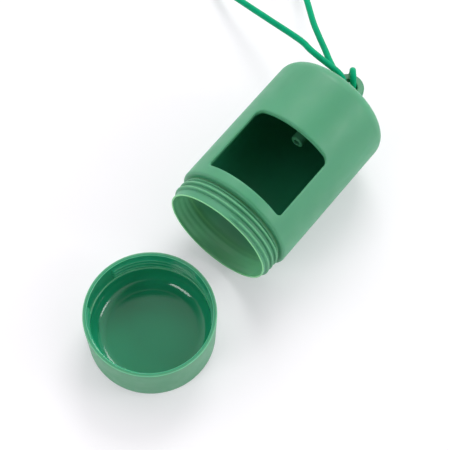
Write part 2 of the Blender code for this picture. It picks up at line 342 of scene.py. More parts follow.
@dataclass(frozen=True)
class MouldedPlastic:
    """Green moulded plastic, a little translucent, with a fine grain.

    Attributes:
        colour: the satin surface's colour.
        inner_face_colour: colour of the polished inner faces; on the housing it is darker,
        painted shade.
        painted_light_colour: pale colour painted on as highlights on edges and crests, and as
        glow where light comes through the wall.
        polished_roughness: roughness where the mould was polished.
        cloud_size, haze_size: spacing of the uneven colour and of the uneven gloss.
        glow, glow_depth: how much light passes under the surface, and how deep.
    """

    name: str
    colour: tuple[float, float, float]
    inner_face_colour: tuple[float, float, float]
    painted_light_colour: tuple[float, float, float]
    polished_roughness: float
    roughness: float = 0.46
    cloud_size: float = 1 / 55.0
    haze_size: float = 1 / 140.0
    grain_size: float = 0.35 * MM
    grain_depth: float = 0.02 * MM
    glow: float = 0.25
    glow_depth: float = 1.6 * MM

    def material(self) -> bpy.types.Material:
        """Build the node material.

        Returns:
            A material with cloudy colour, uneven gloss and a fine grain.  The pieces'
            polish attribute sets the gloss and picks the inner faces' colour, which on the
            housing is darker, painted shade; their second attribute blends in a pale
            colour, painted highlights and painted glow.
        """
        graph = Graph(self.name)
        shader = graph.shader
        cloud = graph.noise(1.0 / self.cloud_size, 3.0, (0.5, 1.0, 1.0))
        mottle = graph.between(cloud, 0.0, 1.0)
        tint = graph.blend(mottle, shade(self.colour, 0.955), shade(self.colour, 1.045))
        haze = graph.noise(1.0 / self.haze_size, 4.0, shift=3.1)
        rough = graph.between(haze, self.roughness - 0.05, self.roughness + 0.06)
        polish = graph.node("ShaderNodeAttribute", attribute_name="polish")
        gloss = graph.node("ShaderNodeMapRange")
        graph.wire(polish.outputs["Fac"], gloss.inputs["Value"])
        graph.wire(rough, gloss.inputs["To Min"])
        gloss.inputs["To Max"].default_value = self.polished_roughness
        graph.wire(gloss.outputs["Result"], shader.inputs["Roughness"])
        # polish also blends in the inner faces' colour: painted shade on the housing
        tint = graph.blend(polish.outputs["Fac"], tint, self.inner_face_colour)
        # pale colour blended in: painted highlights and painted glow
        painted_light = graph.node("ShaderNodeAttribute", attribute_name="painted_light")
        tint = graph.blend(painted_light.outputs["Fac"], tint, self.painted_light_colour)
        graph.wire(tint, shader.inputs["Base Color"])
        graph.fill(shader, {"IOR": 1.49, "Subsurface Weight": self.glow,
                            "Subsurface Radius": (0.8, 1.0, 0.35),
                            "Subsurface Scale": self.glow_depth})
        graph.bump(graph.noise(1.0 / self.grain_size, 2.0, shift=1.7), self.grain_depth, 0.35)
        return graph.material


@dataclass(frozen=True)
class RoundCord:
    """Smooth bright green round cord with a faint sheen.

    Its sizes mean what the plastic's do, and sheen is the strength of its reflections.
    """

    name: str
    colour: tuple[float, float, float]
    roughness: float = 0.38
    sheen: float = 0.06
    cloud_size: float = 1 / 210.0
    haze_size: float = 1 / 800.0
    grain_size: float = 1 / 2600.0
    grain_depth: float = 0.02 * MM
    glow: float = 0.15
    glow_depth: float = 0.6 * MM

    def material(self) -> bpy.types.Material:
        """Build the node material: slightly cloudy colour, uneven gloss, fine grain."""
        graph = Graph(self.name)
        shader = graph.shader
        cloud = graph.noise(1.0 / self.cloud_size, 3.0)
        tint = graph.blend(graph.between(cloud, 0.0, 1.0), shade(self.colour, 0.9),
                           shade(self.colour, 1.08))
        graph.wire(tint, shader.inputs["Base Color"])
        haze = graph.noise(1.0 / self.haze_size, 3.0, shift=5.0)
        graph.wire(graph.between(haze, self.roughness - 0.06, self.roughness + 0.08),
                   shader.inputs["Roughness"])
        graph.fill(shader, {"IOR": 1.45, "Specular IOR Level": self.sheen,
                            "Subsurface Weight": self.glow,
                            "Subsurface Radius": (0.3, 1.0, 0.6),
                            "Subsurface Scale": self.glow_depth})
        graph.bump(graph.noise(1.0 / self.grain_size, 2.0, shift=2.0), self.grain_depth, 0.3)
        return graph.material


# Housing: the polished inner faces' colour is darker than the satin one, painted shade deep
# inside; the pale colour is painted highlight and painted glow.
HOUSING_FINISH = MouldedPlastic(
    "satin_green_plastic", colour=(0.063, 0.303, 0.156), inner_face_colour=(0.020, 0.210, 0.105),
    painted_light_colour=(0.24, 0.64, 0.31), polished_roughness=0.32)
# Cup: the pale colour is painted highlight on the rim, ledge and thread crests.
CUP_FINISH = MouldedPlastic(
    "cup_green_plastic", colour=(0.070, 0.280, 0.148), inner_face_colour=(0.014, 0.300, 0.150),
    painted_light_colour=(0.20, 0.62, 0.38), polished_roughness=0.10)
CORD_FINISH = RoundCord("bright_green_cord", (0.000, 0.33, 0.155))


# ------------------ screw thread
@dataclass(frozen=True)
class ScrewRidge:
    """A right-handed helical ridge, as a height over a turned surface.

    Attributes:
        start: axial place where the centre line starts.
        turns: how many turns the ridge makes.
        phase: angle at which it starts.
        height: how far its crest stands out.
        foot: half its width where it meets the surface.
        fade: the turn over which each end runs out.
        pitch: how far it climbs in one turn.
    """

    start: float
    turns: float
    phase: float
    height: float
    foot: float
    fade: float
    pitch: float = THREAD_PITCH

    def lift(self, along: np.ndarray, angle: np.ndarray) -> np.ndarray:
        """How far the ridge stands out at each point.

        The ridge's centre line climbs by pitch in each turn.  A point's distance to the
        nearest pass of that line gives the height: a half-round bead, the root of
        1 - (distance / foot)^2.  The ridge fades in and out at its two ends.

        Args:
            along: axial places of the points.
            angle: angles round the axis, in radians.

        Returns:
            Heights in metres.
        """
        part = ((angle - self.phase) % FULL_TURN) / FULL_TURN
        nearest = np.round((along - self.start) / self.pitch - part)
        nearest = np.clip(nearest, 0, math.floor(self.turns))
        turn = nearest + part
        away = np.abs(along - self.start - self.pitch * turn)
        shape = np.sqrt(np.clip(1 - (away / self.foot) ** 2, 0.0, 1.0))
        run_in = ease(turn * FULL_TURN / self.fade)
        run_out = ease((self.turns - turn) * FULL_TURN / self.fade)
        return self.height * shape * (run_in * run_out)


# ------------------ housing
class Side(Enum):
    """The two sides of the housing's wall."""

    OUTSIDE = "outside"
    INSIDE = "inside"


@dataclass
class Housing:
    """The moulded housing: threaded neck, body with its window, roof, peg and lug.

    Places along the axis count from the mouth's rim.

    Attributes:
        mouth: the middle of the mouth's rim.
        radius: the body's outer radius.
        tip_x: where the lug ends.
        bead_place, bead_foot, bead_rise: the plain ring beside the groove; its distance
            from the shoulder, half its width, and how far it stands out.
        flare: how much the bore widens towards the rim.
        sink: depth of the shallow waves in the bore behind the thread.
        taper_start: where the bore starts to widen into the body.
        window_side: how far the window sits to one side.
        mouth_corner, roof_corner: radii of the window's corners.
        band_start, band_end: the turned rows that the window is let into.
        columns, band_columns: points round the axis, and those on each side of the top
            that belong to the window's band.
        polish_and_shade_start, polish_and_shade_length: where the inside turns from satin to
        polished and darker, a painted shade.
        painted_rim_highlight, painted_crest_highlight, painted_neck_glow, painted_cut_highlight:
        how much painted light goes there: painted highlight on the rim, the thread's crests
        and the window's cut, painted glow inside the neck.
    """

    mouth: Vector
    radius: float
    tip_x: float
    length: float = 91.8 * MM
    wall: float = 2.4 * MM
    roof_edge: float = 7.2 * MM
    neck: float = 11.55 * MM
    neck_r: float = 27.2 * MM
    bore_r: float = 25.6 * MM
    groove_r: float = 26.8 * MM
    groove_ease: float = 0.5 * MM
    bead_place: float = 1.5 * MM
    bead_foot: float = 0.55 * MM
    bead_rise: float = 0.6 * MM
    shoulder_edge: float = 1.5 * MM
    rim_edge: float = 0.2 * MM
    rim_lip: float = 0.15 * MM
    flare: float = 0.8 * MM
    flare_start: float = 0.6 * MM
    flare_length: float = 5.0 * MM
    sink: float = 0.14 * MM
    taper_start: float = 8.0 * MM
    window_start: float = 17.8 * MM
    window_end: float = 54.7 * MM
    window_half: float = 20.2 * MM
    window_side: float = -1.4 * MM
    mouth_corner: float = 1.8 * MM
    roof_corner: float = 3.6 * MM
    window_edge: float = 1.2 * MM
    window_inner_edge: float = 0.35 * MM
    band_start: float = 14.4 * MM
    band_end: float = 60.0 * MM
    columns: int = 256
    band_columns: int = 39
    band_rows: int = 44
    polish_and_shade_start: float = 18.0 * MM
    polish_and_shade_length: float = 8.0 * MM
    painted_rim_highlight: float = 0.9
    painted_crest_highlight: float = 0.35
    painted_neck_glow: float = 0.30
    painted_neck_glow_end: float = 17.0 * MM
    painted_neck_glow_fade: float = 6.0 * MM
    painted_cut_highlight: float = 0.35
    peg_end: float = 62.3 * MM
    peg_r: float = 3.25 * MM
    peg_side: float = 1.5 * MM
    peg_hollow_r: float = 1.6 * MM
    peg_flare: float = 1.4 * MM
    peg_edge: float = 0.7 * MM
    peg_lip: float = 0.3 * MM
    lug_r: float = 7.8 * MM
    lug_reach: float = 9.4 * MM
    lug_half: float = 1.5 * MM
    lug_flare: float = 1.0 * MM
    lug_edge: float = 0.5 * MM
    lug_root: float = 1.0 * MM
    eye_r: float = 4.4 * MM

    def __post_init__(self) -> None:
        """Work out what follows from the sizes."""
        self.inner_r = self.radius - self.wall
        self.ceiling = self.length - self.wall
        self.ridge = ScrewRidge(start=2.1 * MM, turns=2.35, phase=math.radians(10),
                                height=1.2 * MM, foot=0.80 * MM, fade=math.radians(14))
        self.angles = np.arange(self.columns) * FULL_TURN / self.columns

    def neck_rows(self) -> list[Row]:
        """Rows of the neck's outer side, from the groove to just before the rim.

        The radius is the neck's, plus a rounded bead beside the groove, and less the
        groove's depth past the bead; each change is a smooth step.
        """
        along = np.arange(self.neck - 0.4 * MM, 0.25 * MM, -0.1 * MM)
        from_bead = along - self.neck + self.bead_place
        groove = (self.neck_r - self.groove_r) * ease(from_bead / self.groove_ease)
        bead = self.bead_rise * np.sqrt(np.clip(1 - (from_bead / self.bead_foot) ** 2, 0.0, 1.0))
        return list(zip(along, self.neck_r - groove + bead))

    def bore_rows(self) -> list[Row]:
        """Rows of the bore, from behind the rim to just before the window's band.

        The radius is the bore's, plus the flare at the mouth, a shallow cosine wave behind
        each turn of the thread, and the widening into the body.
        """
        depth = np.linspace(self.flare_start, self.band_start, 46)[:-1]
        lead = self.flare * (1 - ease((depth - self.flare_start) / self.flare_length))
        waves = self.sink * (1 - np.cos(FULL_TURN * depth / self.ridge.pitch)) / 2
        widening = ease((depth - self.taper_start) / (self.band_start - self.taper_start))
        radius = (self.bore_r + lead + waves * (depth < self.neck)
                  + (self.inner_r - self.bore_r) * widening)
        return list(zip(depth, radius))

    def profile(self) -> tuple[list[Row], tuple[int, int], tuple[int, int]]:
        """Rows of the whole turned surface, outside first.

        Returns:
            The rows, and the first and last row of the window's band outside and inside.
        """
        edge, top, out = self.roof_edge, self.length, self.radius
        rows = line_rows((top, 0.0), (top, out - edge), 14)[:-1]
        rows += arc_rows(top - edge, out - edge, edge, 90, 0, 20)
        rows += line_rows((top - edge, out), (self.band_end, out), 8)[1:-1]
        outside = (len(rows), len(rows) + self.band_rows)
        rows += line_rows((self.band_end, out), (self.band_start, out), self.band_rows + 1)
        edge = self.shoulder_edge
        rows += arc_rows(self.neck + edge, out - edge, edge, 0, -90, 9)
        rows += line_rows((self.neck, out - edge), (self.neck, self.groove_r + 0.5 * MM), 3)[1:]
        rows += [(self.neck - 0.08 * MM, self.groove_r + 0.18 * MM),
                 (self.neck - 0.24 * MM, self.groove_r + 0.03 * MM)]
        rows += self.neck_rows()
        edge, lip = self.rim_edge, self.rim_lip
        rows += arc_rows(edge, self.neck_r - edge, edge, 0, -90, 5)
        rows += arc_rows(lip, self.bore_r + self.flare + lip, lip, -90, -180, 4)
        rows += self.bore_rows()
        inner = self.inner_r
        inside = (len(rows), len(rows) + self.band_rows)
        rows += line_rows((self.band_start, inner), (self.band_end, inner), self.band_rows + 1)
        bend = self.roof_edge - self.wall
        rows += line_rows((self.band_end, inner), (self.ceiling - bend, inner), 7)[1:-1]
        rows += arc_rows(self.ceiling - bend, inner - bend, bend, 0, 90, 12)
        rows += line_rows((self.ceiling, inner - bend), (self.ceiling, 0.0), 12)[1:]
        return rows, outside, inside

    def band_outline(self, radius: float) -> np.ndarray:
        """The border of the window's band, as (along, arc length) points round the hole."""
        turn = FULL_TURN / self.columns * radius
        across = np.arange(-self.band_columns, self.band_columns + 1) * turn
        along = np.linspace(self.band_start, self.band_end, self.band_rows + 1)
        low, high = np.full_like(across, self.band_start), np.full_like(across, self.band_end)
        left, right = np.full_like(along, across[0]), np.full_like(along, across[-1])
        sides = [(low, across), (along, right), (high, across[::-1]), (along[::-1], left)]
        return np.vstack([np.column_stack(side)[:-1] for side in sides])

    def window_outline(self) -> tuple[np.ndarray, np.ndarray]:
        """The window's outline seen from above, matched point for point with the band.

        Each side runs from the middle of one round corner to the middle of the next: half
        an arc, a straight stretch, and half an arc.

        Returns:
            (along, across) points, and at each the direction into the material.
        """
        near, far, half = self.mouth_corner, self.roof_corner, self.window_half
        start, end = self.window_start + near, self.window_end - far
        corners = [(start, near - half, near, 225), (start, half - near, near, 135),
                   (end, half - far, far, 45), (end, far - half, far, -45)]
        corners = [(along, across + self.window_side, bend, turn)
                   for along, across, bend, turn in corners]
        counts = (2 * self.band_columns, self.band_rows) * 2
        arc_steps = 8                       # in each half of a corner's arc
        points, normals = [], []
        for (corner, after, count) in zip(corners, corners[1:] + corners[:1], counts):
            first = np.radians(np.linspace(corner[3], corner[3] - 45, arc_steps + 1))
            last = np.radians(np.linspace(corner[3] - 45, corner[3] - 90, arc_steps + 1))
            out_a = np.column_stack((np.cos(first), np.sin(first)))
            out_b = np.column_stack((np.cos(last), np.sin(last)))
            arc_a = np.array(corner[:2]) + corner[2] * out_a
            arc_b = np.array(after[:2]) + after[2] * out_b
            straight = np.linspace(arc_a[-1], arc_b[0], count - 2 * arc_steps + 1)[1:-1]
            points.append(np.vstack((arc_a, straight, arc_b))[:-1])
            normals.append(np.vstack((out_a, np.tile(out_a[-1], (len(straight), 1)), out_b))[:-1])
        return np.vstack(points), np.vstack(normals)

    def on_cylinder(self, flat: np.ndarray, radius: float) -> np.ndarray:
        """Lift (along, across) points up to the cylinder: height is the root of r^2 - y^2."""
        height = np.sqrt(radius ** 2 - flat[:, 1] ** 2)
        return np.column_stack((self.mouth[0] + flat[:, 0], self.mouth[1] + flat[:, 1],
                                self.mouth[2] + height))

    def collar(self, flat: np.ndarray, into: np.ndarray,
               side: Side) -> tuple[np.ndarray, np.ndarray]:
        """The stretch from the band's border to the window's cut, on one side of the wall.

        Rows first blend the band's border into the outline moved outwards by the edge's
        width, in unrolled coordinates; then a parabola that touches both the cylinder and
        the upright cut rounds the edge.

        Args:
            flat: the window's outline.
            into: directions into the material.
            side: the side of the wall.

        Returns:
            (rows, points, 3) grid, and its last row.
        """
        if side is Side.OUTSIDE:
            radius, edge, drop = self.radius, self.window_edge, self.window_edge
        else:
            radius, edge, drop = self.inner_r, self.window_inner_edge, -self.window_inner_edge
        border = self.band_outline(radius)
        moved = flat + into * edge
        moved = np.column_stack((moved[:, 0], radius * np.arcsin(moved[:, 1] / radius)))
        steps = 1 - (1 - np.linspace(0.0, 1.0, 11)[:, None, None]) ** 1.6
        unrolled = border + (moved - border) * steps
        turn = -unrolled[..., 1] / radius
        skin = round_x(unrolled[..., 0], np.full(turn.shape, radius), turn, self.mouth)
        t = np.linspace(0.0, 1.0, 9)[1:, None, None]
        corner = self.on_cylinder(flat, radius)
        foot = corner - np.array((0.0, 0.0, drop))
        rounding = (1 - t) ** 2 * skin[-1] + 2 * t * (1 - t) * corner + t ** 2 * foot
        return np.concatenate((skin, rounding)), foot

    def inner_polish_and_shade(self, along: np.ndarray) -> np.ndarray:
        """Gloss and painted shade inside: satin behind the mouth, polished and darker deeper in.
        """
        return ease((along - self.polish_and_shade_start) / self.polish_and_shade_length)

    def build_shell(self) -> bpy.types.Object:
        """The turned shell with its thread, and the window's rounded edges."""
        rows, outside, inside = self.profile()
        along, radius = (np.array(column)[:, None] for column in zip(*rows))
        angle = self.angles[None, :]
        lift = self.ridge.lift(along, angle)
        threaded = (radius > self.bore_r + 1.0 * MM) & (along < self.neck - 1.0 * MM)
        lift = np.where(threaded, lift, 0)
        surface = np.maximum(radius, np.where(lift > 0, self.neck_r + lift, 0.0))
        grid = round_x(along, surface, angle, self.mouth)
        keep = np.ones((len(rows) - 1, self.columns), dtype=bool)
        hole = np.arange(-self.band_columns, self.band_columns) % self.columns
        for first, last in (outside, inside):
            keep[first:last, hole] = False
        shell = Shell("housing_shell")
        within = (np.arange(len(rows)) > int(np.argmin(along)))[:, None]
        # Painted light: the pale rim and thread crests are painted highlights, the pale band
        # fading inside the neck is painted glow.
        at_rim = along < 0.3 * MM
        crest = lift > 0.95 * self.ridge.height
        painted_light = np.where(at_rim, self.painted_rim_highlight, self.painted_crest_highlight * crest)
        neck_glow_amount = self.painted_neck_glow * ease((self.painted_neck_glow_end - along) / self.painted_neck_glow_fade)
        painted_light = np.where(within & ~at_rim, neck_glow_amount, painted_light)
        # polish: gloss, and painted shade that darkens the inside deeper in
        polish = within * self.inner_polish_and_shade(along)
        shell.add(grid, quads(len(rows), self.columns, keep=keep), polish, painted_light)

        flat, into = self.window_outline()
        outer, outer_foot = self.collar(flat, into, Side.OUTSIDE)
        inner, inner_foot = self.collar(flat, into, Side.INSIDE)
        wall = outer_foot + (inner_foot - outer_foot) * np.linspace(0, 1, 8)[1:-1, None, None]
        rim = np.concatenate((outer, wall, inner[::-1]))
        # Painted highlight along the window's cut.
        painted_light = np.zeros(rim.shape[:2])
        painted_light[len(outer) - 1:len(outer) + 1] = self.painted_cut_highlight
        # polish on the inner collar: gloss and painted shade
        polish = np.zeros(rim.shape[:2])
        polish[-len(inner):] = self.inner_polish_and_shade(rim[-len(inner):, :, 0] - self.mouth[0])
        shell.add(rim, quads(rim.shape[0], rim.shape[1]), polish, painted_light)
        return shell.build()

    def build_peg(self) -> bpy.types.Object:
        """The round peg that hangs from the roof's inside, with a hollow end."""
        end, r, hollow = self.peg_end, self.peg_r, self.peg_hollow_r
        flare, edge, lip = self.peg_flare, self.peg_edge, self.peg_lip
        buried = self.ceiling + 0.5 * MM
        rows = [(buried, 0.0), (buried, r + flare)]
        rows += arc_rows(self.ceiling - flare, r + flare, flare, 90, 180, 8)
        rows += line_rows((self.ceiling - flare, r), (end + edge, r), 12)[1:-1]
        rows += arc_rows(end + edge, r - edge, edge, 0, -90, 7)
        rows += arc_rows(end + lip, hollow + lip, lip, -90, -180, 4)
        rows += line_rows((end + 2 * lip, hollow), (end + 3.6 * MM, hollow - 0.15 * MM), 5)
        rows += [(end + 4.0 * MM, hollow * 0.6), (end + 4.1 * MM, 0.0)]
        along, radius = (np.array(column)[:, None] for column in zip(*rows))
        angle = np.linspace(0, FULL_TURN, 64, endpoint=False)[None, :]
        grid = round_x(along, radius, angle, self.mouth + Vector((0.0, self.peg_side, 0.0)))
        shell = Shell("inner_peg")
        shell.add(grid, quads(*grid.shape[:2]))
        return shell.build()

    def lug_outline(self) -> np.ndarray:
        """Outline of the lug round its eye: a round end, straight sides and a flared root."""
        flare = self.lug_flare
        root = -self.lug_reach - self.lug_root
        turn = np.radians(np.linspace(0, 90, 25))
        side = [np.column_stack((self.lug_r * np.cos(turn), self.lug_r * np.sin(turn)))]
        straight = np.linspace(0, -self.lug_reach + flare, 9)[1:]
        side.append(np.column_stack((straight, np.full_like(straight, self.lug_r))))
        bend = np.radians(np.linspace(0, 90, 8))[1:]
        side.append(np.column_stack((-self.lug_reach + flare - flare * np.sin(bend),
                                     self.lug_r + flare * (1 - np.cos(bend)))))
        side.append(np.array([(root, self.lug_r + flare)]))
        half = np.vstack(side)
        across = np.linspace(half[-1, 1], -half[-1, 1], 24)[1:-1]
        return np.vstack((half, np.column_stack((np.full_like(across, root), across)),
                          half[:0:-1] * (1, -1)))

    def build_lug(self) -> bpy.types.Object:
        """The flat lug outside the roof.

        A rounded section runs from the eye's wall to the outline and back, for each point
        of the outline; it thickens into a hollow curve where the lug meets the roof.
        """
        eye = self.mouth + Vector((self.length + self.lug_reach, 0.0, 0.0))
        outline = self.lug_outline()
        turn = np.arctan2(outline[:, 1], outline[:, 0])
        bore = self.eye_r * np.column_stack((np.cos(turn), np.sin(turn)))
        gap = np.linalg.norm(outline - bore, axis=1)
        bend = np.radians(np.linspace(0, 90, 6))
        inset, below = self.lug_edge * (1 - np.cos(bend)), self.lug_edge * (1 - np.sin(bend))
        middle = np.linspace(0.12, 0.88, 33)
        rows = []
        for sign in (1, -1):
            inner = [(np.full_like(gap, i), sign, b) for i, b in zip(inset, below)]
            across = [(gap * share, sign, 0.0) for share in middle]
            outer = [(gap - i, sign, b) for i, b in zip(inset[::-1], below[::-1])]
            rows += (inner + across + outer)[::sign]
        grid = []
        ahead = (outline - bore) / gap[:, None]
        for distance, sign, below in rows:
            place = bore + ahead * distance[:, None]
            root = np.clip(1 - (place[:, 0] + self.lug_reach) / self.lug_flare, 0.0, 1.0)
            thick = self.lug_half + self.lug_flare * (1 - np.sqrt(1 - root ** 2))
            grid.append(np.column_stack((place, sign * (thick - below))) + np.array(eye))
        grid = np.array(grid)
        shell = Shell("hanging_lug")
        shell.add(grid, quads(grid.shape[0], grid.shape[1], wrap_rows=True))
        return shell.build()

    def dress(self, piece: bpy.types.Object, material: bpy.types.Material) -> None:
        """Give a piece the housing's finish and tie it to the housing's body."""
        piece.data.materials.append(material)
        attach(piece, "housing")
        LOG.info("%s: %d faces", piece.name, len(piece.data.polygons))

    def make(self) -> None:
        """Build and dress the shell, the peg and the lug."""
        material = HOUSING_FINISH.material()
        shell = self.build_shell()
        for piece in (shell, self.build_peg(), self.build_lug()):
            self.dress(piece, material)
        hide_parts("housing")


# ------------------ bait cup
@dataclass
class BaitCup:
    """The screw-on cup, standing on its foot with its mouth up.

    Attributes:
        centre: the middle of the foot.
        bore_r, lower_bore_r: inner radius above and under the ledge.
        ledge_drop, ridge_drop: from the rim down to the ledge, and to the thread.
        floor, floor_bend: the floor's thickness and the hollow curve round it.
        pads, pad_half, pad_ease: angles of the two plain stretches that interrupt the
            thread, half their width, and the turn over which the thread stops.
        painted_edge_highlight, painted_crest_highlight: how much painted highlight lies on
        the rim's and ledge's edges and on the thread's crests.
    """

    centre: Vector
    rim_r: float
    height: float
    base_r: float = 29.9 * MM
    bore_r: float = 28.9 * MM
    lower_bore_r: float = 28.3 * MM
    ledge_drop: float = 13.6 * MM
    floor: float = 2.2 * MM
    floor_bend: float = 7.0 * MM
    foot_edge: float = 1.8 * MM
    rim_edge: float = 0.5 * MM
    rim_lip: float = 0.25 * MM
    ledge_edge: float = 0.3 * MM
    ridge_drop: float = 2.6 * MM
    ridge_turns: float = 2.6
    pads: tuple[float, float] = (math.radians(99), math.radians(279))
    pad_half: float = math.radians(21)
    pad_ease: float = math.radians(1.6)
    painted_edge_highlight: float = 0.65
    painted_crest_highlight: float = 0.35
    columns: int = 360

    def __post_init__(self) -> None:
        """Work out what follows from the sizes."""
        self.ledge = self.height - self.ledge_drop
        low = self.height - self.ridge_drop - THREAD_PITCH * self.ridge_turns
        self.ridge = ScrewRidge(start=low, turns=self.ridge_turns, phase=0.0,
                                height=1.1 * MM, foot=0.85 * MM, fade=math.radians(10))

    def profile(self) -> list[Row]:
        """Rows of the cup as (height, radius): foot, outside, rim, inside and floor."""
        edge, bend, ledge = self.foot_edge, self.floor_bend, self.ledge
        rows = line_rows((0.0, 0.0), (0.0, self.base_r - edge), 12)[:-1]
        rows += arc_rows(edge, self.base_r - edge, edge, -90, 0, 8)
        top = self.height - self.rim_edge
        rows += line_rows((edge, self.base_r), (top, self.rim_r), 12)[1:-1]
        rows += arc_rows(top, self.rim_r - self.rim_edge, self.rim_edge, 0, 90, 7)
        lip = self.rim_lip
        rows += arc_rows(self.height - lip, self.bore_r + lip, lip, 90, 180, 5)
        thread = np.arange(self.height - 0.5 * MM, ledge + 0.45 * MM, -0.1 * MM)
        rows += [(height, self.bore_r) for height in thread]
        edge = self.ledge_edge
        rows += arc_rows(ledge + edge, self.bore_r - edge, edge, 0, -90, 4)
        rows += [(ledge, self.lower_bore_r)]
        rows += line_rows((ledge - 0.4 * MM, self.lower_bore_r),
                          (self.floor + bend, self.lower_bore_r), 8)
        rows += arc_rows(self.floor + bend, self.lower_bore_r - bend, bend, 0, -90, 24)[1:]
        rows += line_rows((self.floor, self.lower_bore_r - bend), (self.floor, 0.0), 16)[1:]
        return rows

    def pad_mask(self, angle: np.ndarray) -> np.ndarray:
        """1 where the thread runs, 0 on the two plain pads, with a steep step between."""
        mask = np.ones_like(angle)
        for middle in self.pads:
            away = np.abs((angle - middle + math.pi) % FULL_TURN - math.pi)
            mask = np.minimum(mask, ease((away - self.pad_half) / self.pad_ease))
        return mask

    def build(self) -> bpy.types.Object:
        """The whole cup: a turned surface, with the thread standing into the bore."""
        rows = self.profile()
        height, radius = (np.array(column)[:, None] for column in zip(*rows))
        angle = (np.arange(self.columns) * FULL_TURN / self.columns)[None, :]
        inner = (np.arange(len(rows)) > int(np.argmax(height)))[:, None]
        lift = self.ridge.lift(height, angle) * self.pad_mask(angle)
        in_bore = inner & (radius > self.bore_r - 0.05 * MM)
        surface = radius - np.where(in_bore, lift, 0.0)
        grid = round_z(height, surface, angle, self.centre)
        shell = Shell("bait_cup_shell")
        polish = np.broadcast_to(inner, grid.shape[:2]).astype(float)
        # Painted highlights: pale rim edges, ledge edge and thread crests.
        on_rim = height > self.height - 0.35 * MM
        rim_edges = (radius > self.rim_r - 0.45 * MM) | (radius < self.bore_r + 0.22 * MM)
        ledge_edge = inner & (np.abs(height - self.ledge - 0.15 * MM) < 0.2 * MM)
        crests = in_bore & (lift > 0.92 * self.ridge.height)
        painted_light = np.where((on_rim & rim_edges) | ledge_edge, self.painted_edge_highlight,
                        self.painted_crest_highlight * crests)
        shell.add(grid, quads(len(rows), self.columns), polish, painted_light)
        return shell.build()

    def make(self) -> None:
        """Build and dress the cup."""
        piece = self.build()
        piece.data.materials.append(CUP_FINISH.material())
        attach(piece, "cup")
        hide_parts("bait_cup")
        LOG.info("%s: %d faces", piece.name, len(piece.data.polygons))


# ------------------ cord
# Routes in metres from the middle of the lug's eye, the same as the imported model's.
LOOP_ROUTE = (
    (-0.0020, -0.0003, -0.0012), (-0.0018, 0.0002, 0.0002), (-0.0009, 0.0016, 0.0021),
    (0.0006, 0.0036, 0.0034), (0.0020, 0.0060, 0.0039), (0.0029, 0.0095, 0.0036),
    (0.0038, 0.0147, 0.0027), (0.0049, 0.0211, 0.0016), (0.0063, 0.0278, 0.0003),
    (0.0086, 0.0357, -0.0017), (0.0121, 0.0570, -0.0085), (0.0162, 0.0777, -0.0165),
    (0.0202, 0.0950, -0.0235), (0.0257, 0.1100, -0.0276), (0.0337, 0.1215, -0.0283),
    (0.0452, 0.1262, -0.0283), (0.0567, 0.1220, -0.0283), (0.0642, 0.1110, -0.0283),
    (0.0650, 0.0970, -0.0283), (0.0602, 0.0835, -0.0277), (0.0532, 0.0715, -0.0252),
    (0.0450, 0.0608, -0.0208), (0.0362, 0.0510, -0.0162), (0.0268, 0.0406, -0.0122),
    (0.0203, 0.0322, -0.0094), (0.0145, 0.0240, -0.0072), (0.0110, 0.0193, -0.0060),
    (0.0080, 0.0149, -0.0048), (0.0064, 0.0120, -0.0042), (0.0056, 0.0090, -0.0041),
)
HITCH_ROUTE = (
    (0.0055, 0.0084, -0.0041), (0.0053, 0.0070, -0.0043), (0.0060, 0.0055, -0.0045),
    (0.0075, 0.0046, -0.0042), (0.0088, 0.0041, -0.0028), (0.0093, 0.0040, -0.0008),
    (0.0091, 0.0039, 0.0011), (0.0082, 0.0034, 0.0031), (0.0066, 0.0022, 0.0041),
    (0.0047, 0.0006, 0.0041), (0.0031, -0.0007, 0.0029), (0.0021, -0.0015, 0.0009),
    (0.0016, -0.0019, -0.0019),
)


